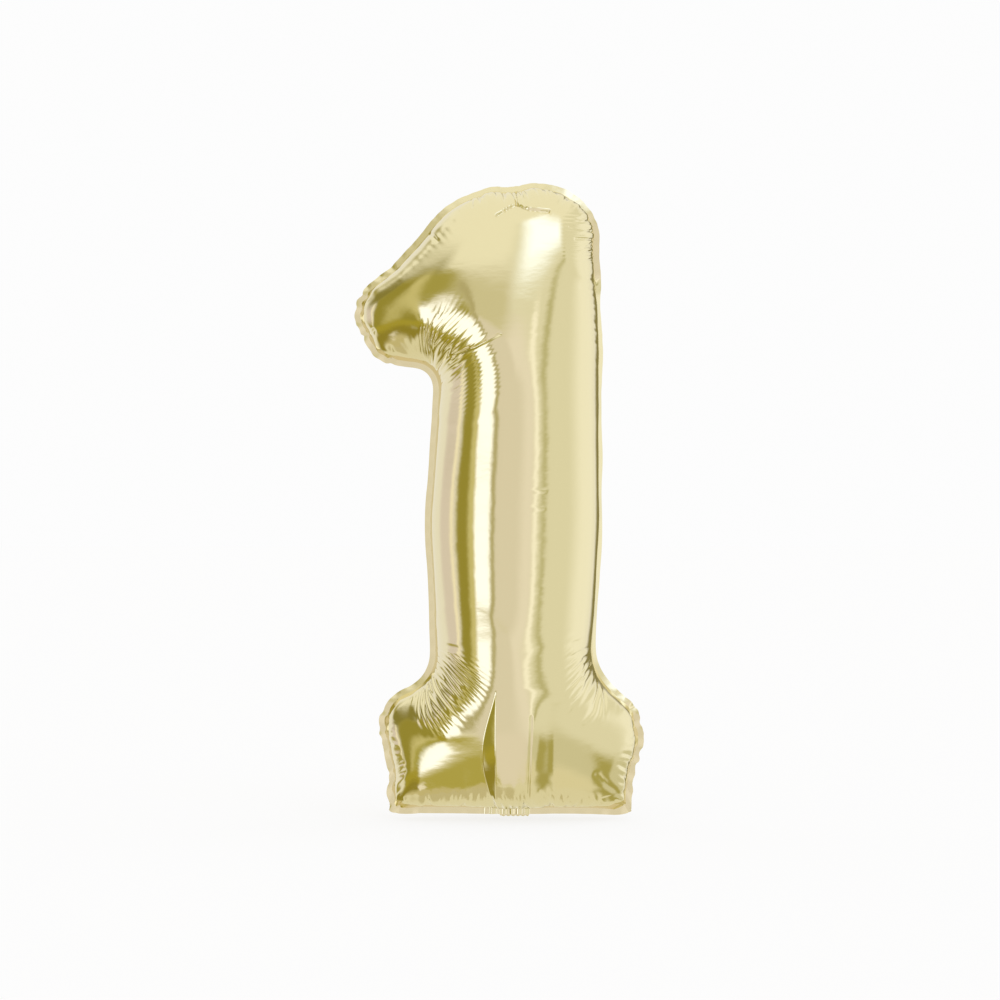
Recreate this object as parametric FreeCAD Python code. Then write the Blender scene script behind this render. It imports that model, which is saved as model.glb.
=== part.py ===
"""Foil number balloon, digit 1, inflated. Millimetres, +Z up, front face towards -Y.

The origin is the centre of the fold line where the filler tail leaves the bottom seam. Two film panels are
heat-sealed to each other along a flat flange in the plane y = 0. The tail and the valve are flat film plies.
"""
import FreeCAD, Part
import math
import os

V = FreeCAD.Vector

# Envelope of the inflated digit
SEAM_Z = 1.5            # lower edge of the flange above the fold line
HEIGHT = 860.0          # flange edge to flange edge
FLANGE = 8.0            # width of the heat seal
FILM = 0.6              # stands in for 0.04 mm metallised film

# Corners of the flange's outer edge: x, height above the lower edge, rounding radius
DIGIT = [
    (-165, 0, 12), (160, 0, 12), (180, 115, 32), (112, 207, 45), (116, 838, 42), (34, HEIGHT + 2, 60),
    (-100, 832, 45), (-246, 683, 52), (-111, 594, 42), (-113, 203, 70), (-185, 117, 35),
]
# Side view of the outer film at its crest: height above the lower edge, half depth
CREST = [
    (9, 0), (14, 36), (29, 63), (58, 88), (98, 105), (150, 115), (240, 116), (400, 114), (560, 115),
    (640, 119), (700, 113), (780, 92), (820, 70), (839, 44), (HEIGHT - 8.3, 0),
]
# Hollows beside the crest where the outline turns inwards: height, half height, left and right strength
HOLLOWS = [(147, 85, 0.8, 0.7), (660, 115, 0.8, 0.0)]
CREST_PULL = 0.7        # share of a lopsided width that the crest stays short of at full depth
ROWS = 64
COLUMNS = 12            # on each side of the crest

# Filler tail: film plies outside, valve film inside, tucked up behind the base at rest
TAIL_WIDTH = 32.0
TAIL_START = 3.0        # from the fold line
TAIL_END = 66.0
TAIL_ROUNDING = 5.0
TAIL_TUCK = 100.0       # degrees from hanging straight down
VALVE_FILM = 0.25       # stands in for 0.05 mm valve film
PLY_GAP = 0.03
INLET_WIDTH = 26.0
RIBBON_HOLE_R = 2.5
RIBBON_HOLE_AT = 58.0   # from the fold line
PORT_R = 4.0
PORT_AT = 36.0

# Valve flaps inside the digit, and the channel that lets them through the bottom seam
VALVE_BOTTOM_Z = 2.0
VALVE_TOP_Z = 118.0
NECK_WIDTH = 34.0
NECK_ROOM = 1.0         # from the seam plane to the film, either side


def rounded_wire(corners, y=0.0):
    """Closed wire in the plane y through rounded corners, as straight runs and arcs."""
    points = [(V(x, y, z), r) for x, z, r in corners]
    edges = []
    ends = []
    for k, (corner, radius) in enumerate(points):
        to_last = (points[k - 1][0] - corner).normalize()
        to_next = (points[(k + 1) % len(points)][0] - corner).normalize()
        half = to_last.getAngle(to_next) / 2
        reach = radius / math.tan(half)
        middle = (to_last + to_next).normalize()
        nearest = corner + middle * (radius / math.sin(half) - radius)
        ends.append((corner + to_last * reach, nearest, corner + to_next * reach))
    for k, (start, nearest, end) in enumerate(ends):
        edges.append(Part.makeLine(ends[k - 1][2], start))
        edges.append(Part.Arc(start, nearest, end).toShape())
    return Part.Wire(edges)


def width_at(wire, z):
    """Leftmost and rightmost x of a closed wire in the plane y = 0 at height z."""
    cut = wire.section(Part.makeLine(V(-500, 0, z), V(500, 0, z)))
    xs = [v.X for v in cut.Vertexes]
    return min(xs), max(xs)


def cubic_face(rows):
    """Cubic spline face over a grid of control points, ending on the grid's four sides."""
    knots = []
    ends = []
    for count in (len(rows), len(rows[0])):
        knots.append(list(range(count - 2)))
        ends.append([4] + [1] * (count - 4) + [4])
    surface = Part.BSplineSurface()
    surface.buildFromPolesMultsKnots(rows, *ends, *knots, False, False, 3, 3)
    return surface.toShape()


def fullness(z, side):
    """Exponent of the section beside the crest: 2 is an ellipse, 1 falls away like a parabola."""
    hollow = 0.0
    for centre, reach, *strength in HOLLOWS:
        away = abs(z - SEAM_Z - centre) / reach
        if away < 1:
            hollow += strength[side] * math.cos(away * math.pi / 2) ** 2
    return 2.0 - hollow


def domed_face(seam, y):
    """Front half of the inflated film as one spline face. Its edge lies in the plane y, on the seam wire."""
    box = seam.BoundBox
    first, last = box.ZMin, box.ZMax - 0.02
    low, high = CREST[0][0], CREST[-1][0]
    side_view = Part.BSplineCurve()
    side_view.interpolate([V(first + (last - first) * (h - low) / (high - low), depth, 0) for h, depth in CREST])
    deepest = max(depth for _, depth in CREST)
    rows = []
    for point in side_view.discretize(Number=ROWS):
        z = min(max(point.x, first), last)
        depth = max(point.y, 0.0)
        left, right = width_at(seam, z + (1e-4 if z == first else 0))
        crest = (left + right) / 2 * (1 - CREST_PULL * depth / deepest)
        row = []
        for step in range(-COLUMNS, COLUMNS + 1):
            across = math.sin(abs(step) / COLUMNS * math.pi / 2)
            side, reach = (0, left - crest) if step < 0 else (1, right - crest)
            rise = math.sqrt(max(1 - across ** fullness(z, side), 0))
            row.append(V(crest + reach * across, y - depth * rise, z))
        rows.append(row)
    return cubic_face(rows)


def front_film():
    """One panel: the domed film with its flat flange, before the neck is let in."""
    edge = rounded_wire([(x, SEAM_Z + h, r) for x, h, r in DIGIT])
    outer_seam = edge.makeOffset2D(-FLANGE)
    inner_seam = edge.makeOffset2D(-FLANGE - FILM)
    outside = domed_face(outer_seam, -FILM)
    inside = domed_face(inner_seam, 0.0)
    raised_edge = edge.copy()
    raised_edge.translate(V(0, -FILM, 0))
    faces = [outside, inside]
    for rim, dome in ((raised_edge, outside), (edge, inside)):
        faces.append(Part.makeFace([rim, dome.OuterWire], "Part::FaceMakerBullseye"))
    faces.extend(edge.extrude(V(0, -FILM, 0)).Faces)
    shell = Part.Shell(faces)
    shell.sewShape()
    solid = Part.Solid(shell)
    if solid.Volume < 0:
        solid.reverse()
    return solid


def neck(panel):
    """Lets the valve film through the flange: the film stands off the seam plane across the neck."""
    wall = FILM + NECK_ROOM
    top = SEAM_Z + FLANGE + FILM / 2
    boss = Part.makeBox(NECK_WIDTH, wall, top - SEAM_Z, V(-NECK_WIDTH / 2, -wall, SEAM_Z))
    room = NECK_WIDTH - 2 * FILM
    channel = Part.makeBox(room, NECK_ROOM, FLANGE + 6, V(-room / 2, -NECK_ROOM, SEAM_Z - 1))
    return panel.fuse(boss).cut(channel)


def strip(width, start, end, near, thick, rounding=0.0):
    """Flat ply hanging below the fold line, from y = near to y = near + thick."""
    ply = Part.makeBox(width, thick, end - start, V(-width / 2, near, -end))
    if rounding:
        free = [e for e in ply.Edges if e.BoundBox.ZMax < -end + 1e-6 and e.BoundBox.YLength > thick / 2]
        ply = ply.makeFillet(rounding, free)
    return ply


def tail_plies():
    """The tail's four plies, tucked up behind the base, each side of the tail's middle plane."""
    film_at = PLY_GAP * 2 + VALVE_FILM
    plies = {
        "tail_front_ply": strip(TAIL_WIDTH, TAIL_START, TAIL_END, -film_at - FILM, FILM, TAIL_ROUNDING),
        "inlet_front_ply": strip(INLET_WIDTH, TAIL_START, TAIL_END - 4, -PLY_GAP - VALVE_FILM, VALVE_FILM),
        "inlet_back_ply": strip(INLET_WIDTH, TAIL_START, TAIL_END - 4, PLY_GAP, VALVE_FILM),
        "tail_back_ply": strip(TAIL_WIDTH, TAIL_START, TAIL_END, film_at, FILM, TAIL_ROUNDING),
    }
    ribbon_hole = Part.makeCylinder(RIBBON_HOLE_R, 8, V(0, -4, -RIBBON_HOLE_AT), V(0, 1, 0))
    port = Part.makeCylinder(PORT_R, 8, V(0, 0, -PORT_AT), V(0, -1, 0))
    for name, ply in plies.items():
        ply = ply.cut(ribbon_hole)
        if "front" in name:
            ply = ply.cut(port)
        ply.rotate(V(0, 0, 0), V(1, 0, 0), TAIL_TUCK)
        plies[name] = ply
    return plies


def valve_flap(side):
    """One flap of the valve inside the digit, on the -Y (side -1) or +Y (side 1) of the seam plane."""
    near = PLY_GAP if side > 0 else -PLY_GAP - VALVE_FILM
    return strip(INLET_WIDTH, -VALVE_TOP_Z, -VALVE_BOTTOM_Z, near, VALVE_FILM)


def main():
    os.makedirs("parts", exist_ok=True)
    front = neck(front_film())
    nodes = {"front_panel": front, "back_panel": front.mirror(V(0, 0, 0), V(0, 1, 0))}
    nodes["valve_front_flap"] = valve_flap(-1)
    nodes["valve_back_flap"] = valve_flap(1)
    nodes.update(tail_plies())
    for name, shape in nodes.items():
        solids = shape.Solids
        box = shape.BoundBox
        print(f"{name:18s} valid {shape.isValid()} solids {len(solids)} volume {shape.Volume / 1000:8.2f} cm3"
              f"  x {box.XMin:7.1f} {box.XMax:7.1f}  y {box.YMin:7.1f} {box.YMax:7.1f}"
              f"  z {box.ZMin:7.1f} {box.ZMax:7.1f}")
        shape.exportStep(f"parts/{name}.step")


main()
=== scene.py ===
"""Looks of the inflated foil digit 1: wrinkled film panels, heat-seal flange, filler tail, studio.

The panels are inflated here from their flat pattern, because a foil balloon's wrinkles come from that.
"""

import math
from concurrent.futures import ThreadPoolExecutor

import bpy
import numpy as np
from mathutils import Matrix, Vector
from mathutils.geometry import delaunay_2d_cdt


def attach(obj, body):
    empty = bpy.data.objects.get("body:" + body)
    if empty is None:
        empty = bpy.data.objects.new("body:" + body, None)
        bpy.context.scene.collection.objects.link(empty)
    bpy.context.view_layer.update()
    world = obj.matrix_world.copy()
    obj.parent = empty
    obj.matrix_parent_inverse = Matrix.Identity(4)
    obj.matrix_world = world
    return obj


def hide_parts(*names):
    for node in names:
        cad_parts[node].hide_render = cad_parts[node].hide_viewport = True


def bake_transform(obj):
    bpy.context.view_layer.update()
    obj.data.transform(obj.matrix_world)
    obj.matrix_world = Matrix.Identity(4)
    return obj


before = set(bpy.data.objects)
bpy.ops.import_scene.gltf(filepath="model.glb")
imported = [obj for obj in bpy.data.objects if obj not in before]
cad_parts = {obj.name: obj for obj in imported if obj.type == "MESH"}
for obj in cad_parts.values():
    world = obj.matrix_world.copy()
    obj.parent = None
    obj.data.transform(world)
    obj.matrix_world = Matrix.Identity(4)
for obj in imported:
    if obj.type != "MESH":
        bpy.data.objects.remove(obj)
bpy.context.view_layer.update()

# Outline of the flat panels, before inflation and before they are scaled to the full height: x, z, corner
# radius, in mm. A program fitted these corners to the silhouette in the photograph. They were then rounded,
# and some were moved.
OUTLINE = [
    (-183, -30, 40), (-11, -57, 600), (175, -33, 40), (229, 99, 120), (174, 201, 100), (178, 398, 1200),
    (176, 692, 1000), (144, 901, 125), (-84, 908, 180), (-266, 742, 100), (-242, 641, 90), (-173, 604, 50),
    (-180, 395, 800), (-172, 190, 85), (-230, 111, 100),
]
WELD_INSET = 2.0        # how far inside that outline the weld line is
FLANGE = 8.0            # width of the flat heat seal outside the weld line
FIRST_EDGE = 11.0       # mesh size of the first level; each level halves it
THREADS = 4
# Parts of the flat pattern where the film wrinkles finely: x, z, half width, half height
WRINKLED = [(-100, 610, 95, 85), (-90, 190, 100, 95), (108, 790, 45, 60), (60, 190, 60, 40), (0, 80, 45, 85),
            (5, 856, 70, 52)]


def rounded_loop(corners, step):
    """Closed line through corners (x, z, radius), anticlockwise, with arcs drawn in steps."""
    loop = []
    for k, (x, z, radius) in enumerate(corners):
        corner = np.array((x, z), float)
        to_last = np.array(corners[k - 1][:2]) - corner
        to_next = np.array(corners[(k + 1) % len(corners)][:2]) - corner
        last, next_ = np.linalg.norm(to_last), np.linalg.norm(to_next)
        to_last, to_next = to_last / last, to_next / next_
        half = math.acos(to_last @ to_next) / 2
        reach = min(radius / math.tan(half), 0.499 * min(last, next_))
        radius = reach * math.tan(half)
        bisector = (to_last + to_next) / np.linalg.norm(to_last + to_next)
        centre = corner + bisector * radius / math.sin(half)
        start = corner + to_last * reach - centre
        end = corner + to_next * reach - centre
        first = math.atan2(start[1], start[0])
        turn = (math.atan2(end[1], end[0]) - first + math.pi) % (2 * math.pi) - math.pi
        count = max(2, int(abs(turn) * radius / step) + 1)
        angles = first + turn * np.linspace(0, 1, count + 1)
        loop.append(centre + radius * np.stack([np.cos(angles), np.sin(angles)], 1))
    return np.vstack(loop)


def even_loop(loop, step):
    """The same closed line with points an even distance apart."""
    closed = np.vstack([loop, loop[:1]])
    along = np.concatenate([[0], np.cumsum(np.linalg.norm(np.diff(closed, axis=0), axis=1))])
    count = int(round(along[-1] / step))
    at = np.arange(count) * along[-1] / count
    return np.stack([np.interp(at, along, closed[:, k]) for k in (0, 1)], 1)


def grown_loop(loop, distance):
    """The closed line moved outwards."""
    along = np.roll(loop, -1, 0) - np.roll(loop, 1, 0)
    along /= np.linalg.norm(along, axis=1)[:, None]
    return loop + distance * np.stack([along[:, 1], -along[:, 0]], 1)


def inside(loop, points):
    """Which points are inside the closed line."""
    x, z = points.T
    odd = np.zeros(len(points), bool)
    for (x1, z1), (x2, z2) in zip(np.roll(loop, 1, 0), loop):
        if z1 != z2:
            odd ^= ((z1 > z) != (z2 > z)) & (x < (x2 - x1) * (z - z1) / (z2 - z1) + x1)
    return odd


def distance_to(loop, points):
    """How far each point is from the closed line."""
    nearest = np.full(len(points), 1e9)
    for a, b in zip(np.roll(loop, 1, 0), loop):
        ab = b - a
        t = np.clip((points - a) @ ab / max(ab @ ab, 1e-12), 0, 1)
        nearest = np.minimum(nearest, np.linalg.norm(points - a - t[:, None] * ab, axis=1))
    return nearest


def flat_sheet(weld, rim, step):
    """Triangles over the flat panel and its flange: points, triangles, which triangles are flange."""
    low, high = rim.min(0) - step, rim.max(0) + step
    grid = []
    for row, z in enumerate(np.arange(low[1], high[1], step * math.sqrt(3) / 2)):
        x = np.arange(low[0] + (step / 2 if row % 2 else 0), high[0], step)
        grid.append(np.stack([x, np.full(len(x), z)], 1))
    grid = np.vstack(grid)
    grid = grid[inside(weld, grid)]
    grid = grid[distance_to(weld, grid) > 0.62 * step]
    n, m = len(weld), len(rim)
    lines = [(k, (k + 1) % n) for k in range(n)] + [(n + k, n + (k + 1) % m) for k in range(m)]
    made = delaunay_2d_cdt(
        [Vector(p) for p in np.vstack([weld, rim, grid])], lines, [list(range(n, n + m))], 1, 1e-9
    )
    points, triangles = np.array([tuple(p) for p in made[0]]), np.array(made[2])
    return points, triangles, ~inside(weld, points[triangles].mean(1))


def edges_of(triangles):
    """Each triangle's three sides in order, as sorted point pairs."""
    return np.sort(np.vstack([triangles[:, [0, 1]], triangles[:, [1, 2]], triangles[:, [2, 0]]]), 1)


def split(points, triangles, flange, wanted):
    """Halves the sides that wanted(middles) picks: the finer sheet and the pairs behind its new points."""
    sides, which = np.unique(edges_of(triangles), axis=0, return_inverse=True)
    middles = (points[sides[:, 0]] + points[sides[:, 1]]) / 2
    halve = wanted(middles)
    count = len(triangles)
    at = which.ravel().reshape(3, count).T
    # a triangle with two halved sides gets its third halved too
    while True:
        more = (halve[at].sum(1) == 2)
        if not more.any():
            break
        halve[at[more].ravel()] = True
    new = np.full(len(sides), -1)
    new[halve] = len(points) + np.arange(halve.sum())
    mid = new[at]
    split_sides = (mid >= 0).sum(1)
    out, marks = [triangles[split_sides == 0]], [flange[split_sides == 0]]
    full = split_sides == 3
    a, b, c = triangles[full].T
    ab, bc, ca = mid[full].T
    out += [np.stack(t, 1) for t in ((a, ab, ca), (ab, b, bc), (ca, bc, c), (ab, bc, ca))]
    marks += [flange[full]] * 4
    for k in range(3):
        one = (split_sides == 1) & (mid[:, k] >= 0)
        a, b, c = triangles[one][:, [k, (k + 1) % 3, (k + 2) % 3]].T
        m = mid[one, k]
        out += [np.stack((a, m, c), 1), np.stack((m, b, c), 1)]
        marks += [flange[one]] * 2
    return np.vstack([points, middles[halve]]), np.vstack(out), np.concatenate(marks), sides[halve]


def colouring(sides, count):
    """A number for each side so that sides with the same number share no point."""
    used, colours = [0] * count, np.zeros(len(sides), int)
    for k, (i, j) in enumerate(sides.tolist()):
        taken, colour = used[i] | used[j], 0
        while taken >> colour & 1:
            colour += 1
        colours[k] = colour
        used[i] |= 1 << colour
        used[j] |= 1 << colour
    return colours


class Skin:
    """Two film sheets cut from one flat outline and welded along the flange."""

    def __init__(self, points, triangles, flange):
        a = points[triangles[:, 1]] - points[triangles[:, 0]]
        b = points[triangles[:, 2]] - points[triangles[:, 0]]
        anticlockwise = a[:, 0] * b[:, 1] > a[:, 1] * b[:, 0]
        triangles = np.where(anticlockwise[:, None], triangles, triangles[:, ::-1])
        self.points, self.triangles, self.is_flange = points, triangles, flange
        self.welded = np.zeros(len(points), bool)
        self.welded[triangles[flange].ravel()] = True
        self.inner = np.nonzero(~self.welded)[0]
        self.back_of = np.arange(len(points))
        self.back_of[self.inner] = len(points) + np.arange(len(self.inner))
        self.count = len(points) + len(self.inner)
        self.front = triangles[~flange]
        self.back = self.back_of[self.front][:, ::-1]
        self.flange = triangles[flange]
        everything = np.vstack([self.front, self.back, self.flange])
        sides = np.unique(edges_of(everything), axis=0)
        flat = np.vstack([points, points[self.inner]])
        length = np.linalg.norm(flat[sides[:, 0]] - flat[sides[:, 1]], axis=1)
        colours = colouring(sides, self.count)
        order = np.argsort(colours, kind="stable")
        self.i, self.j = sides[order].T.copy()
        self.length = length[order].astype(np.float32)
        starts = np.searchsorted(colours[order], np.arange(colours.max() + 2))
        self.groups = []
        for low, high in zip(starts, starts[1:]):
            parts = THREADS if high - low > 6000 else 1
            cuts = np.linspace(low, high, parts + 1).astype(int)
            self.groups.append([slice(a, b) for a, b in zip(cuts, cuts[1:])])
        self.pressed = np.vstack([self.front, self.back])
        p, q, r = (flat[everything[:, k]] for k in range(3))
        area = np.abs((q - p)[:, 0] * (r - p)[:, 1] - (q - p)[:, 1] * (r - p)[:, 0]) / 2
        self.area = np.bincount(everything.ravel(), np.repeat(area / 3, 3), self.count)

    def start(self, weld, depth):
        """Both sheets slightly domed, so that the gas has something to push on."""
        shape = np.zeros((self.count, 3), np.float32)
        shape[:, [0, 2]] = np.vstack([self.points, self.points[self.inner]])
        deep = np.sqrt(np.clip(distance_to(weld, self.points), 0, 60) / 60)
        shape[:len(self.points), 1] = -depth * deep * ~self.welded
        shape[len(self.points):, 1] = depth * deep[self.inner]
        return shape

    def push(self, shape):
        """The gas's push at each point, for each square millimetre of film."""
        p, q, r = (np.take(shape, self.pressed[:, k], axis=0) for k in range(3))
        normal = np.cross(q - p, r - p) / 6
        total = [np.bincount(self.pressed.ravel(), np.repeat(normal[:, k], 3), self.count) for k in range(3)]
        return (np.stack(total, 1) / self.area[:, None]).astype(np.float32)

    def pull(self, shape, part, slack):
        """Moves the ends of one group of sides so that each side gets back its flat length."""
        i, j = self.i[part], self.j[part]
        first, second = np.take(shape, i, axis=0), np.take(shape, j, axis=0)
        along = second - first
        length = np.sqrt(np.einsum("ij,ij->i", along, along))
        over = (length - self.length[part]) / np.maximum(length, np.float32(1e-6))
        if slack:
            over = np.maximum(over, 0)
        along *= (np.float32(0.5) * over)[:, None]
        shape[i] = first + along
        shape[j] = second - along

    def inflate(self, shape, steps, gas, sweeps=4, slack=True, damping=0.93):
        """Moves the film under the gas. Slack film may fold up freely; otherwise it resists squeezing too."""
        speed = np.zeros_like(shape)
        with ThreadPoolExecutor(THREADS) as pool:
            for _ in range(steps):
                before = shape.copy()
                shape = shape + np.float32(damping) * speed + np.float32(gas) * self.push(shape)
                for _ in range(sweeps):
                    for group in self.groups:
                        list(pool.map(lambda part: self.pull(shape, part, slack), group))
                speed = shape - before
        return shape

    def normals(self, shape):
        p, q, r = (shape[self.pressed[:, k]].astype(float) for k in range(3))
        face = np.cross(q - p, r - p)
        at = self.pressed.ravel()
        total = np.stack([np.bincount(at, np.repeat(face[:, k], 3), self.count) for k in range(3)], 1)
        return total / np.maximum(np.linalg.norm(total, axis=1), 1e-12)[:, None]

    def ironed(self, shape, times, where):
        """The film with its sharp folds spread out, as much as where(x, z) says, away from the weld."""
        share = where(*np.vstack([self.points, self.points[self.inner]]).T)
        share[: len(self.points)][self.welded] = 0
        share = share[:, None] / 2
        ends = np.concatenate([self.i, self.j])
        others = np.concatenate([self.j, self.i])
        sides = np.bincount(ends, minlength=self.count)[:, None]
        for _ in range(times):
            mean = np.stack([np.bincount(ends, shape[others, k], self.count) for k in range(3)], 1) / sides
            shape = shape + share * (mean - shape)
        return shape.astype(np.float32)

    def finer(self, shape, wanted=lambda middles: np.ones(len(middles), bool)):
        """A finer skin and its shape, with new points on smooth curves between the old ones."""
        points, triangles, flange, pairs = split(self.points, self.triangles, self.is_flange, wanted)
        skin = Skin(points, triangles, flange)
        normals = self.normals(shape)
        normals[:len(self.points)][self.welded] = 0
        sheets = []
        for own in (np.arange(len(self.points)), self.back_of):
            i, j = own[pairs[:, 0]], own[pairs[:, 1]]
            chord = shape[j] - shape[i]
            bow = sum(
                sign * (chord * normals[k]).sum(1)[:, None] * normals[k] for sign, k in ((-1, i), (1, j))
            )
            sheets.append(np.vstack([shape[own], (shape[i] + shape[j]) / 2 + bow / 8]))
        return skin, np.vstack([sheets[0], sheets[1][skin.inner]]).astype(np.float32)


def everywhere(x, z):
    return np.ones(len(x))


def smooth_step(low, high, x):
    """0 below low, 1 above high, and smooth between them."""
    t = np.clip((x - low) / (high - low), 0, 1)
    return t * t * (3 - 2 * t)


def in_zones(middles):
    """Which points of the flat pattern lie where the film wrinkles finely."""
    x, z = middles.T
    return sum((((x - cx) / rx) ** 2 + ((z - cz) / rz) ** 2 < 1) for cx, cz, rx, rz in WRINKLED) > 0


def stem(x, z):
    """The straight part of the flat pattern, away from its edges."""
    low = 230 - 100 * smooth_step(-10, 20, x)
    return (
        smooth_step(low, low + 50, z) * (1 - smooth_step(560, 620, z))
        * (1 - smooth_step(90, 140, np.abs(x)))
    )


def inflated():
    """Both sheets after inflation, in mm: blown up on a coarse mesh, then settled on finer ones."""
    weld = grown_loop(even_loop(rounded_loop(OUTLINE, 4), FIRST_EDGE), -WELD_INSET)
    skin = Skin(*flat_sheet(weld, grown_loop(weld, FLANGE), FIRST_EDGE))
    shape = skin.start(weld, 60)
    for gas, damping, steps in ((0.3, 0.9, 150), (0.05, 0.93, 200), (0.01, 0.95, 150)):
        shape = skin.inflate(shape, steps, gas, damping=damping)
    skin, shape = skin.finer(shape)
    shape = skin.inflate(shape, 80, 0.03)
    shape = skin.inflate(shape, 60, 0.01)
    shape = skin.ironed(shape, 20, everywhere)
    shape = skin.ironed(shape, 110, stem)
    skin, shape = skin.finer(shape)
    shape = skin.inflate(shape, 15, 0.005, slack=False)
    skin, shape = skin.finer(shape, in_zones)
    return skin, skin.inflate(shape, 60, 0.005, slack=False)


# Panels, in mm: x to the right, z up ---------------------------------------------------------------------

SEAM_Z = 1.5            # the flange's lower edge
HEIGHT = 860.0          # flange edge to flange edge
SEAL_GAP = 0.05         # between the two films of the flange, half
NECK_GAP = 0.85         # the same at the neck, where the valve passes
RIB_DEPTH = 0.9         # how much of the inflated wrinkles is left
# Where the wrinkles are shallow, on the flat pattern: x, z, half sizes, how much of them is left
CALM = [(-100, 620, 140, 130, 0.3), (-60, 550, 130, 120, 0.12), (-125, 780, 100, 60, 0.4)]
# Softly raised spots of the front film: x, z, rise, size
SWELLS = [(-122, 672, 4.5, 18), (-100, 645, 5, 16), (-92, 136, 4.5, 18)]
# Spots ironed flat: x, z, half sizes
KINKS = [(-46, 274, 36, 34), (28, 196, 26, 60), (-26, 500, 20, 40)]
# Creases in the front film: points x, z along it, depth, half width
CREASES = [
    ([(2, 856), (2, 828)], 4.0, 1.6), ([(2, 828), (-9, 822), (-24, 812)], 4.6, 2.0),
    ([(2, 828), (16, 821), (46, 818)], 4.6, 2.0), ([(-121, 797), (-104, 779)], 1.8, 2.0),
    ([(-62, 850), (-57, 826)], 1.2, 2.0), ([(74, 797), (120, 793)], 1.4, 1.7),
    ([(82, 781), (120, 784)], 1.4, 1.7), ([(90, 716), (120, 717)], 1.0, 2.0),
    ([(-84, 623), (-52, 634), (-20, 651)], 1.8, 2.0), ([(18, 4), (19, 70), (21, 142)], 1.0, 1.5),
    ([(1, 443), (41, 442)], 0.4, 2.0), ([(4, 420), (38, 419)], 0.3, 2.0),
    ([(112, 60), (128, 44), (146, 30)], 1.5, 5.0), ([(120, 26), (150, 33)], 1.2, 3.0),
]
# The ridge over the valve: its left edge, its right edge and how far it takes to sink there, its lower end
# and its height, how wide its flank gets and how steep that is
RIDGE_LEFT, RIDGE_RIGHT, RIDGE_FOOT = -25, 57, 40
RIDGE_LOW, RIDGE_TALL = 2, 176
RIDGE_FLANK, RIDGE_SLOPE = 18, 0.55
PLEAT_STEP, PLEAT_DEPTH, PLEAT_PEAK = 9.0, 5.6, 0.75    # the neck's gathers: spacing, depth, where they peak
RUFFLE_STEP = 23                                        # length of one ruffle of the flange
FOLDED_BACK = 1.0                                       # the flange's turn beside the stem's right, radians


def valve_ridge(x, z):
    """The valve's film tube, sealed to the front panel, lifts a leaf-shaped ridge above the neck."""
    flank = RIDGE_FLANK * np.sin(np.clip((z - RIDGE_LOW) / RIDGE_TALL, 0, 1) * math.pi) ** 1.3 + 1e-6
    left = np.clip((x - RIDGE_LEFT + flank) / flank, 0, 1)
    right = smooth_step(0, 1, (RIDGE_RIGHT - x) / RIDGE_FOOT)
    return RIDGE_SLOPE * flank * np.minimum(left, right)


def pleats(x, z):
    """Gathers where the neck leaves the bottom seam."""
    near = (1 - smooth_step(11, 22, z)) * smooth_step(-42, -34, x) * (1 - smooth_step(14, 20, x))
    along = (x / PLEAT_STEP) % 1.0
    return PLEAT_DEPTH * near * np.minimum(along / PLEAT_PEAK, (1 - along) / (1 - PLEAT_PEAK))


def neck(x, z):
    """Where the films stand apart at the bottom seam, round the valve."""
    return (1 - smooth_step(14, 21, np.abs(x))) * (1 - smooth_step(10, 16, z))


def creases(x, z):
    """How far the creases sink the front film."""
    total = np.zeros(len(x))
    points = np.stack([x, z], 1)
    for line, depth, width in CREASES:
        away = np.full(len(x), 1e9)
        for a, b in zip(np.array(line[:-1], float), np.array(line[1:], float)):
            t = np.clip((points - a) @ (b - a) / ((b - a) @ (b - a)), 0, 1)
            away = np.minimum(away, np.linalg.norm(points - a - t[:, None] * (b - a), axis=1))
        total -= depth * np.clip(1 - away / (1.6 * width), 0, 1) ** 1.3
    return total


def swells(x, z):
    """How far the soft swells lift the front film."""
    return sum(
        rise * np.exp(-((x - at_x) ** 2 + (z - at_z) ** 2) / (2 * size * size))
        for at_x, at_z, rise, size in SWELLS
    )


def shoulder_ribs(x, z):
    """Fine level ribs at the head's right shoulder."""
    window = smooth_step(60, 80, x) * (1 - smooth_step(104, 114, x)) * smooth_step(748, 762, z)
    return 0.3 * window * (1 - smooth_step(808, 822, z)) * np.sin(z * 1.16 + 0.02 * x)


def seam_order(front):
    """The weld line's points in order, anticlockwise seen from the front."""
    sides = np.vstack([front[:, [0, 1]], front[:, [1, 2]], front[:, [2, 0]]])
    _, first, count = np.unique(np.sort(sides, 1), axis=0, return_index=True, return_counts=True)
    following = dict(sides[first[count == 1]].tolist())
    order = [min(following)]
    while len(order) < len(following):
        order.append(following[order[-1]])
    return np.array(order)


def ring_blur(values, sigma):
    """Points of a closed line, each averaged with its neighbours."""
    reach = 4 * sigma
    weights = np.exp(-np.arange(-reach, reach + 1) ** 2 / (2 * sigma * sigma))
    padded = np.vstack([values[-reach:], values, values[:reach]])
    return np.stack([np.convolve(padded[:, k], weights / weights.sum(), "valid") for k in range(3)], 1)


def lobed(x, z):
    """Where the seam is gathered into lobes: the base's two sides and the flag's tip."""
    base = smooth_step(110, 140, np.abs(x)) * (1 - smooth_step(140, 175, z))
    return np.maximum(base, smooth_step(150, 180, -x) * smooth_step(560, 600, z))


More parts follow.
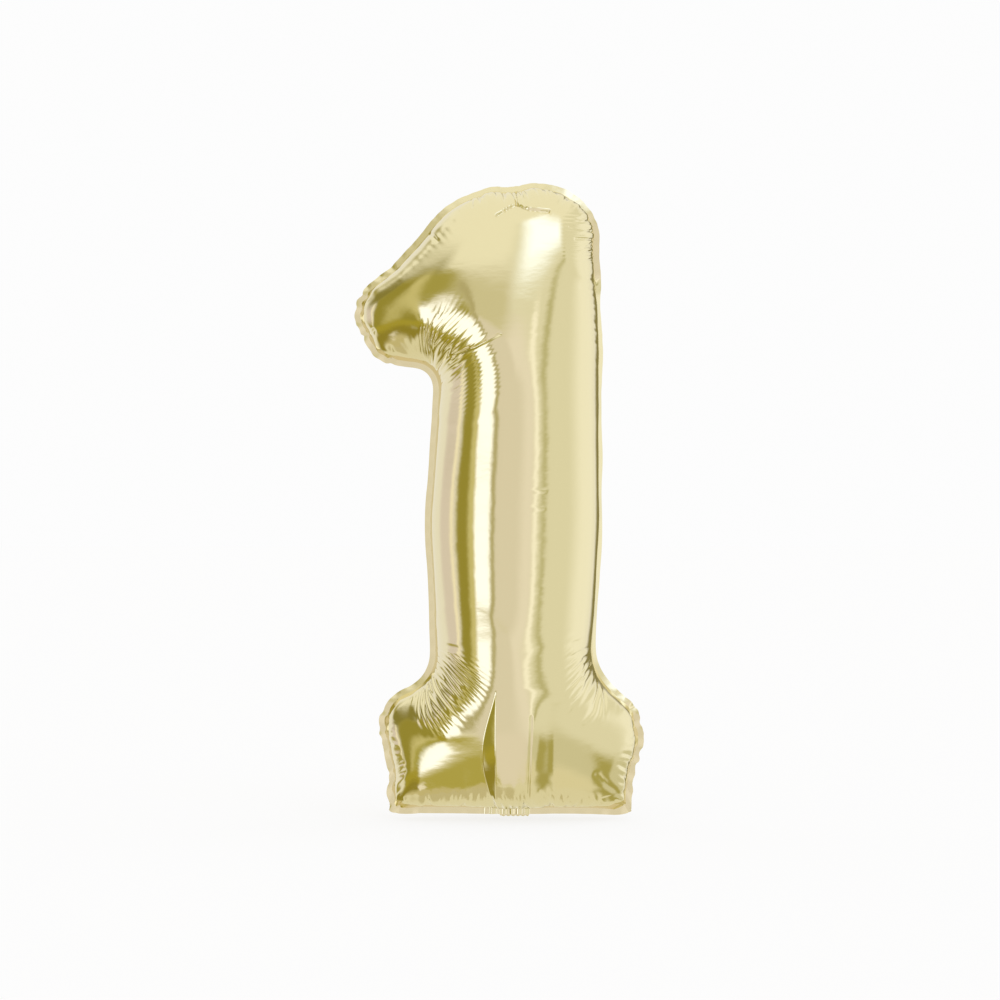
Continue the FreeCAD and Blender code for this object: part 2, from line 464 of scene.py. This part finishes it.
def flange_rows(line):
    """Rows of points across the heat seal, outwards from the weld line."""
    calm = ring_blur(line, 5)
    along = np.roll(calm, -2, 0) - np.roll(calm, 2, 0)
    along /= np.linalg.norm(along, axis=1)[:, None]
    outward = np.stack([along[:, 2], np.zeros(len(along)), -along[:, 0]], 1)
    x, z = calm[:, 0], calm[:, 2]
    run = np.cumsum(np.linalg.norm(calm - np.roll(calm, 1, 0), axis=1))
    ruffle = (0.02 + 0.09 * lobed(x, z)) * np.sin(run * 2 * math.pi / RUFFLE_STEP + 1.7 * np.sin(run / 61))
    folded_back = smooth_step(95, 105, x) * smooth_step(150, 215, z) * (1 - smooth_step(690, 745, z))
    rest = 0.35 * smooth_step(0.2, 0.8, outward[:, 2]) - 0.03 * smooth_step(0.5, 0.95, -outward[:, 0])
    tilt = (
        (ruffle + rest) * (1 - folded_back)
        + folded_back * (FOLDED_BACK + 0.12 * np.sin(run / RUFFLE_STEP))
    )
    straight = np.cos(tilt)[:, None] * outward
    straight[:, 1] = np.sin(tilt)
    return [line + straight * FLANGE * share for share in (0.25, 0.5, 0.75, 1.0)]


def new_mesh(name, points_mm, faces, material):
    mesh = bpy.data.meshes.new(name)
    mesh.from_pydata((points_mm / 1000).tolist(), [], faces)
    mesh.update()
    mesh.polygons.foreach_set("use_smooth", [True] * len(mesh.polygons))
    piece = bpy.data.objects.new(name, mesh)
    bpy.context.scene.collection.objects.link(piece)
    mesh.materials.append(material)
    return piece


def nearest_of(targets, points):
    """For each point, how far the nearest target is and which one."""
    away, which = np.zeros(len(points)), np.zeros(len(points), int)
    for start in range(0, len(points), 4000):
        part = slice(start, start + 4000)
        apart = ((points[part, None] - targets[None]) ** 2).sum(2)
        which[part] = apart.argmin(1)
        away[part] = np.sqrt(apart.min(1))
    return away, which


def shallow_wrinkles(skin, shape):
    """The skin with its wrinkles partly ironed out, most in the calm zones."""
    ironed = skin.ironed(shape, 24, everywhere)
    x, z = np.vstack([skin.points, skin.points[skin.inner]]).T
    ribs = np.full(len(x), RIB_DEPTH)
    for at_x, at_z, wide, tall, left in CALM:
        within = 1 - smooth_step(0.6, 1.0, np.hypot((x - at_x) / wide, (z - at_z) / tall))
        ribs = np.minimum(ribs, RIB_DEPTH + (left - RIB_DEPTH) * within)
    return ironed + ribs[:, None] * (shape - ironed)


def even_seam(skin, shape, order):
    """The skin with its weld line smooth outside the lobes, and each point's distance from the weld line."""
    raw = ring_blur(shape[order], 1)
    keep = 0.2 + 0.8 * lobed(raw[:, 0], raw[:, 2])[:, None]
    line = keep * raw + (1 - keep) * ring_blur(raw, 6)
    line[:, 1] = 0
    away, nearest = nearest_of(skin.points[order], skin.points)
    follow = np.clip(1 - away / 14, 0, 1)[:, None] ** 2 * (line - shape[order])[nearest]
    shape[: len(skin.points)] += follow
    shape[len(skin.points):] += follow[skin.inner]
    return shape, away


def ironed_spots(skin, shape, away):
    """The skin ironed along the seam, widest over the flag, and at the kinks."""
    x, z = skin.points.T
    flag_top = (
        smooth_step(-300, -200, z - x - 1000) * (1 - smooth_step(-100, -40, x)) * smooth_step(690, 730, z)
    )
    calm_seam = 1 - smooth_step(10 + 14 * flag_top, 28 + 30 * flag_top, away)
    calm_seam *= 1 - 0.35 * lobed(*shape[: len(skin.points), [0, 2]].T)
    both = np.concatenate([calm_seam, calm_seam[skin.inner]])
    shape = skin.ironed(shape, 30, lambda x, z: both.copy()).astype(float)
    kinked = sum(
        np.exp(-((shape[:, 0] - at_x) / wide) ** 2 - ((shape[:, 2] - at_z) / tall) ** 2)
        for at_x, at_z, wide, tall in KINKS
    )
    return skin.ironed(shape, 60, lambda x, z: np.clip(1.5 * kinked, 0, 1)).astype(float)


def to_size(shape, rows):
    """Skin and flange scaled to the full height, with the bottom edge nearly straight at its own height."""
    scale = HEIGHT / np.ptp(rows[..., 2])
    shape, rows = shape * scale, rows * scale
    for points in (shape, rows):
        points[..., 2] += SEAM_Z - rows[..., 2].min()
    bottom = rows[-1][rows[-1][:, 2] < 30]
    bottom = bottom[np.argsort(bottom[:, 0])]
    for points in (shape, rows):
        sag = np.interp(points[..., 0], bottom[:, 0], bottom[:, 2]) - SEAM_Z
        points[..., 2] -= 0.85 * sag * (1 - smooth_step(0, 110, points[..., 2]))
    return shape, rows


def panels(skin, shape, foil):
    """The front and back films, each with its half of the flange."""
    order = seam_order(skin.front)
    shape, away = even_seam(skin, shallow_wrinkles(skin, shape), order)
    line = shape[order]
    shape = ironed_spots(skin, shape, away)
    shape, rows = to_size(shape, np.array([line, *flange_rows(line)]))
    front_points = np.unique(skin.front)
    x, _, z = shape[front_points].T
    relief = swells(x, z) + valve_ridge(x, z) + creases(x, z) + shoulder_ribs(x, z)
    inset = np.clip(away[front_points] / 6, 0, 1)
    shape[front_points] += skin.normals(shape)[front_points] * (relief * inset)[:, None]
    for name, node, triangles, side in (
        ("front_film", "front_panel", skin.front, -1), ("back_film", "back_panel", skin.back, 1),
    ):
        used = np.unique(triangles)
        number = np.full(len(shape), -1)
        number[used] = np.arange(len(used))
        points = [shape[used]]
        rings = [number[order]]
        for row in rows[1:]:
            rings.append(sum(map(len, points)) + np.arange(len(order)))
            points.append(row + (0, side * SEAL_GAP, 0))
        points = np.vstack(points)
        across, _, up = points.T
        points[:, 1] += side * (NECK_GAP * neck(across, up) + pleats(across, up))
        faces = number[triangles].tolist()
        for inner, outer in zip(rings, rings[1:]):
            quad = (outer, np.roll(outer, -1), np.roll(inner, -1), inner)
            faces += np.stack(quad if side < 0 else quad[::-1], 1).tolist()
        piece = new_mesh(name, points, faces, foil)
        sharpen(piece.data, rings[0])
        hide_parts(node)
        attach(piece, "digit")


def sharpen(mesh, ring):
    """A crease along a ring of points."""
    ends = np.zeros(len(mesh.edges) * 2, int)
    mesh.edges.foreach_get("vertices", ends)
    ends = np.sort(ends.reshape(-1, 2), 1)
    wanted = np.sort(np.stack([ring, np.roll(ring, -1)], 1), 1)
    key = len(mesh.vertices)
    sharp = np.isin(ends[:, 0] * key + ends[:, 1], wanted[:, 0] * key + wanted[:, 1])
    mesh.attributes.new("sharp_edge", "BOOLEAN", "EDGE").data.foreach_set("value", sharp)


# Tail ----------------------------------------------------------------------------------------------------

TUCK = math.radians(100)        # tail's turn at rest, from hanging
BEND_R = 2.5                    # radius of the film's middle at the fold
# Width, ends (down from the fold line) and distance from the middle of the tail's plies and the inlet's
TAIL_WIDTH, TAIL_ENDS, TAIL_OFF = 32, (-3.2, 66), 0.42
INLET_WIDTH, INLET_ENDS, INLET_OFF = 26, (3, 62), 0.15
RIBBON_HOLE, PORT = (58.0, 2.5), (36.0, 4.0)                # down from the fold line, radius
FINE_EDGE = 1.2                                             # mesh size of the plies


def tail_place(across, down, off):
    """Where a point of the tail is at rest: across it, down it from the fold line, off its middle sheet."""
    reach = BEND_R * math.tan(TUCK / 2)
    turn = TUCK * np.clip((down + reach) / (2 * reach), 0, 1)
    above, past = np.minimum(down + reach, 0), np.maximum(down - reach, 0)
    y = BEND_R * (1 - np.cos(turn)) + past * math.sin(TUCK) + off * np.cos(turn)
    z = reach - BEND_R * np.sin(turn) - past * math.cos(TUCK) - above + off * np.sin(turn)
    return np.stack([across, y, z], 1)


def tail_ply(name, node, width, ends, off, holes, material):
    """One crinkled film ply of the tail, with its punched holes."""
    top, bottom = ends
    half, flare, corner = width / 2, 5, 5.0
    outline = rounded_loop(
        [(-half - flare, top, 1), (-half, top + 9, 20), (-half, bottom, corner), (half, bottom, corner),
         (half, top + 9, 20), (half + flare, top, 1)], 0.6
    )
    outline = even_loop(outline, FINE_EDGE)
    rings = [outline]
    for at, radius in holes:
        angles = np.linspace(0, 2 * math.pi, 28, endpoint=False)
        rings.append(np.stack([radius * np.cos(angles), at + radius * np.sin(angles)], 1))
    grid = np.array([
        (x, s) for s in np.arange(top, bottom, FINE_EDGE) for x in np.arange(-width, width, FINE_EDGE)
    ])
    grid = grid[inside(outline, grid) & (distance_to(outline, grid) > 0.7)]
    for ring in rings[1:]:
        grid = grid[~inside(ring, grid) & (distance_to(ring, grid) > 0.6)]
    lines, start = [], 0
    for ring in rings:
        count = len(ring)
        lines += [(start + k, start + (k + 1) % count) for k in range(count)]
        start += count
    made = delaunay_2d_cdt(
        [Vector(p) for p in np.vstack(rings + [grid])], lines, [list(range(len(outline)))], 1, 1e-9
    )
    flat, triangles = np.array([tuple(p) for p in made[0]]), np.array(made[2])
    middle = flat[triangles].mean(1)
    for ring in rings[1:]:
        keep = ~inside(ring, middle)
        triangles, middle = triangles[keep], middle[keep]
    across, down = flat.T
    crinkle = 0.5 * np.sin(0.33 * down + 0.21 * across) + 0.35 * np.sin(0.47 * across - 0.19 * down + 1)
    crinkle += 0.18 * np.sin(0.9 * across + 0.7 * down) + 0.15 * np.sin(1.3 * down - 0.6 * across + 2)
    gathers = 0.7 * np.sin(across * 0.95) * smooth_step(-1, 3, down) * (1 - smooth_step(5, 18, down))
    settled = smooth_step(2, 14, down)
    points = tail_place(across, down, off * (1 + 0.6 * settled) + crinkle * settled + gathers)
    piece = new_mesh(name, points, triangles.tolist(), material)
    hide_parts(node)
    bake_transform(piece)
    return piece


def tail(foil, clear):
    """Both sheets' tabs and the valve film between them. Each front ply is punched for filling too."""
    for kind, width, ends, off, material, slot in (
        ("tail", TAIL_WIDTH, TAIL_ENDS, TAIL_OFF, foil, "gold_foil"),
        ("inlet", INLET_WIDTH, INLET_ENDS, INLET_OFF, clear, "valve_film"),
    ):
        for side, sign, holes in (("front", -1, [RIBBON_HOLE, PORT]), ("back", 1, [RIBBON_HOLE])):
            tail_ply(
                f"{kind}_{side}_film", f"{kind}_{side}_ply", width, ends, sign * off, holes, material
            )


# Materials -----------------------------------------------------------------------------------------------


def principled(name, **values):
    material = bpy.data.materials.new(name)
    material.use_nodes = True
    shader = material.node_tree.nodes["Principled BSDF"]
    for key, value in values.items():
        shader.inputs[key.replace("_", " ")].default_value = value
    return material, shader


class Wires:
    """Short names for making nodes in one tree."""

    def __init__(self, tree):
        self.tree = tree

    def node(self, kind, **settings):
        made = self.tree.nodes.new(kind)
        for key, value in settings.items():
            setattr(made, key, value)
        return made

    def feed(self, socket, value):
        if hasattr(value, "node"):
            self.tree.links.new(value, socket)
        else:
            socket.default_value = value

    def maths(self, operation, a, b=0.0):
        made = self.node("ShaderNodeMath", operation=operation)
        self.feed(made.inputs[0], a)
        self.feed(made.inputs[1], b)
        return made.outputs[0]

    def ramp(self, value, low, high, first=0.0, last=1.0, kind="SMOOTHSTEP"):
        made = self.node("ShaderNodeMapRange", interpolation_type=kind)
        sockets = ("Value", "From Min", "From Max", "To Min", "To Max")
        for key, number in zip(sockets, (value, low, high, first, last)):
            self.feed(made.inputs[key], number)
        return made.outputs["Result"]

    def noise(self, place, scale, detail):
        made = self.node("ShaderNodeTexNoise")
        for key, value in (("Vector", place), ("Scale", scale), ("Detail", detail)):
            self.feed(made.inputs[key], value)
        return made.outputs["Fac"]

    def mix(self, share, a, b):
        made = self.node("ShaderNodeMix", data_type="RGBA")
        self.feed(made.inputs[0], share)
        for socket, value in ((made.inputs[6], a), (made.inputs[7], b)):
            self.feed(socket, (*value, 1) if isinstance(value, tuple) else value)
        return made.outputs[2]


def film(name, crinkle, smudge, **values):
    """Film with fine crinkles (noise scales along x, y and z, detail, strength, height in m) and a roughness
    that wanders as on handled film (noise scale, lowest, highest)."""
    material, shader = principled(name, **values)
    w = Wires(material.node_tree)
    place = w.node("ShaderNodeTexCoord").outputs["Object"]
    scales, detail, strength, height = crinkle
    stretched = w.node("ShaderNodeMapping")
    w.feed(stretched.inputs["Vector"], place)
    w.feed(stretched.inputs["Scale"], scales)
    bump = w.node("ShaderNodeBump")
    w.feed(bump.inputs["Strength"], strength)
    w.feed(bump.inputs["Distance"], height)
    w.feed(bump.inputs["Height"], w.noise(stretched.outputs["Vector"], 1.0, detail))
    w.feed(shader.inputs["Normal"], bump.outputs["Normal"])
    scale, lowest, highest = smudge
    w.feed(
        shader.inputs["Roughness"], w.ramp(w.noise(place, scale, 4.0), 0.3, 0.7, lowest, highest, "LINEAR")
    )
    return material


def gold_foil():
    return film(
        "gold_foil", ((26, 26, 60), 3.0, 0.15, 0.002), (9.0, 0.07, 0.12),
        Base_Color=(0.86, 0.78, 0.52, 1), Metallic=1.0, Roughness=0.09
    )


def valve_film():
    return film(
        "valve_film", ((120, 120, 120), 2.0, 0.2, 0.001), (40.0, 0.2, 0.35),
        Base_Color=(0.82, 0.82, 0.78, 1), Alpha=0.6
    )


# Studio --------------------------------------------------------------------------------------------------

# Soft cards round the balloon, by direction from it in degrees: centre azimuth (0 is towards the camera,
# positive to the camera's right), centre elevation, half sizes, soft edges, lean in azimuth for each degree
# up, colour. They were set to follow the colours that the film reflects in the photograph, which a program
# had read off by direction, so they suit the view from the front.
CARDS = [
    ((70, 5), (62, 40), (20, 15), 0.0, (0.83, 0.82, 0.69)),
    ((112, 0), (22, 30), (28, 14), 0.0, (1.00, 1.00, 0.94)),
    ((75, -30), (58, 15), (14, 16), 0.0, (0.69, 0.67, 0.49)),
    ((-120, -77), (70, 14), (20, 12), 0.0, (0.62, 0.57, 0.37)),
    ((0, -62), (62, 16), (30, 20), 0.0, (0.80, 0.76, 0.56)),
    ((-8, -14), (24, 30), (8, 12), 0.0, (0.80, 0.76, 0.70)),
    ((16, -6), (10, 22), (18, 12), 0.0, (0.90, 0.86, 0.83)),
    ((-3, -58), (13, 40), (8, 14), 0.0, (0.84, 0.79, 0.74)),
    ((-20, -60), (2, 24), (5, 10), 0.0, (0.50, 0.45, 0.12)),
    ((23, -54), (3, 26), (6, 10), 0.0, (0.62, 0.58, 0.36)),
    ((-46, -58), (16, 22), (8, 12), 0.0, (0.48, 0.43, 0.11)),
    ((66, -34), (9, 16), (9, 12), 0.0, (0.45, 0.41, 0.14)),
    ((98, -52), (28, 12), (18, 16), 0.0, (0.44, 0.40, 0.14)),
    ((-26, 23), (34, 9), (16, 14), 0.0, (0.69, 0.66, 0.47)),
    ((-106, 0), (13, 12), (12, 8), 0.0, (0.77, 0.71, 0.73)),
    ((-118, 29), (22, 6), (14, 10), 0.0, (0.42, 0.38, 0.14)),
    ((-84, 26), (32, 14), (16, 22), 0.0, (0.27, 0.24, 0.06)),
    ((-54, 22), (16, 11), (16, 10), 0.0, (0.42, 0.38, 0.10)),
    ((-73, -4), (13, 38), (10, 12), 0.0, (0.66, 0.61, 0.30)),
    ((-80, -2), (9, 36), (8, 12), 0.0, (0.34, 0.30, 0.055)),
    ((-62, -18), (5, 11), (5, 8), 0.0, (0.42, 0.38, 0.07)),
    ((-76, -62), (18, 16), (8, 12), 0.0, (0.62, 0.56, 0.32)),
    ((-74, -32), (14, 9), (8, 8), 0.0, (0.42, 0.36, 0.05)),
    ((-106, -42), (40, 8), (10, 10), 0.0, (0.31, 0.26, 0.04)),
    ((-64, -50), (8, 7), (5, 6), 0.0, (0.92, 0.88, 0.80)),
    ((-108, -14), (16, 6), (12, 8), 0.0, (0.42, 0.37, 0.10)),
    ((-96, 0), (2.5, 14), (4, 8), 0.0, (1.02, 0.97, 0.84)),
    ((-50, -13), (11, 18), (6, 8), 0.0, (1.35, 1.42, 1.65)),
    ((-34, 0), (3, 26), (5, 8), 0.0, (0.50, 0.46, 0.26)),
    ((36, 40), (17, 12), (22, 18), 0.3, (1.35, 1.48, 1.80)),
    ((29, 4), (3, 14), (5, 8), 0.5, (1.10, 1.09, 1.06)),
    ((46, 8), (4, 12), (9, 8), 0.8, (0.55, 0.53, 0.31)),
    ((160, 0), (17, 25), (12, 20), 0.0, (0.26, 0.23, 0.09)),
]
CEILING = (0.96, 0.95, 0.84)
ROOM = (0.90, 0.89, 0.86)       # between the floor and the ceiling
FLOOR = (0.80, 0.77, 0.59)
BACKDROP = 0.98                 # as the camera sees it
VIEW_WIDTH, VIEW_FROM = 1.36076, 5.0    # in m: how much is seen across at the balloon, how far off
VIEW_CENTRE = (-0.0197, 0.43)


def studio_world():
    """The cards, seen only in the film; behind the balloon the camera sees plain white."""
    world = bpy.data.worlds.new("studio")
    bpy.context.scene.world = world
    world.use_nodes = True
    world.node_tree.nodes.clear()
    w = Wires(world.node_tree)
    place = w.node("ShaderNodeTexCoord").outputs["Generated"]
    split_up = w.node("ShaderNodeSeparateXYZ")
    w.feed(split_up.inputs[0], place)
    x, y, z = split_up.outputs
    to_degrees = 180 / math.pi
    azimuth = w.maths("MULTIPLY", w.maths("ARCTAN2", x, w.maths("MULTIPLY", y, -1.0)), to_degrees)
    elevation = w.maths("MULTIPLY", w.maths("ARCSINE", z), to_degrees)
    colour = w.mix(w.ramp(elevation, -34.0, -20.0), FLOOR, ROOM)
    colour = w.mix(w.ramp(elevation, 24.0, 40.0), colour, CEILING)
    for (az, el), (wide, tall), (soft_az, soft_el), lean, card in CARDS:
        up = w.maths("SUBTRACT", elevation, float(el))
        side = w.maths("SUBTRACT", w.maths("SUBTRACT", azimuth, float(az)), w.maths("MULTIPLY", up, lean))
        across = w.ramp(w.maths("ABSOLUTE", side), float(wide - soft_az / 2), wide + soft_az / 2, 1.0, 0.0)
        high = w.ramp(w.maths("ABSOLUTE", up), float(tall - soft_el / 2), tall + soft_el / 2, 1.0, 0.0)
        colour = w.mix(w.maths("MULTIPLY", across, high), colour, card)
    light = w.node("ShaderNodeBackground")
    w.feed(light.inputs["Color"], colour)
    white = w.node("ShaderNodeBackground")
    white.inputs["Color"].default_value = (BACKDROP, BACKDROP, BACKDROP, 1)
    seen = w.node("ShaderNodeLightPath").outputs["Is Camera Ray"]
    both = w.node("ShaderNodeMixShader")
    w.feed(both.inputs[0], seen)
    w.feed(both.inputs[1], light.outputs[0])
    w.feed(both.inputs[2], white.outputs[0])
    w.feed(w.node("ShaderNodeOutputWorld").inputs["Surface"], both.outputs[0])


def studio_floor():
    """A pale floor that runs out of sight, and isn't mirrored in the foil: the world stands for it there."""
    half, level = 30, -0.004
    corners = [(x * half, y * half, level) for x, y in ((-1, -1), (1, -1), (1, 1), (-1, 1))]
    mesh = bpy.data.meshes.new("floor")
    mesh.from_pydata(corners, [], [(0, 1, 2, 3)])
    floor = bpy.data.objects.new("floor", mesh)
    bpy.context.scene.collection.objects.link(floor)
    material, shader = principled("floor", Base_Color=(0.205, 0.205, 0.23, 1), Roughness=1.0)
    shader.inputs["Specular IOR Level"].default_value = 0.0
    shader.inputs["Emission Color"].default_value = (1, 1, 1, 1)
    shader.inputs["Emission Strength"].default_value = 0.80
    mesh.materials.append(material)
    floor.visible_glossy = False
    floor.visible_diffuse = False


def camera():
    """Level with the balloon's middle, far off, as in a catalogue picture."""
    data = bpy.data.cameras.new("camera")
    data.sensor_width = 36
    data.lens = 36 * VIEW_FROM / VIEW_WIDTH
    holder = bpy.data.objects.new("camera", data)
    bpy.context.scene.collection.objects.link(holder)
    holder.location = (VIEW_CENTRE[0], -VIEW_FROM, VIEW_CENTRE[1])
    holder.rotation_euler = (math.pi / 2, 0, 0)
    bpy.context.scene.camera = holder


foil, clear = gold_foil(), valve_film()
skin, shape = inflated()
panels(skin, shape, foil)
tail(foil, clear)
for node in ("valve_front_flap", "valve_back_flap"):
    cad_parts[node].data.materials.clear()
    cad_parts[node].data.materials.append(clear)
studio_world()
studio_floor()
camera()
bpy.context.scene.view_settings.view_transform = "Standard"
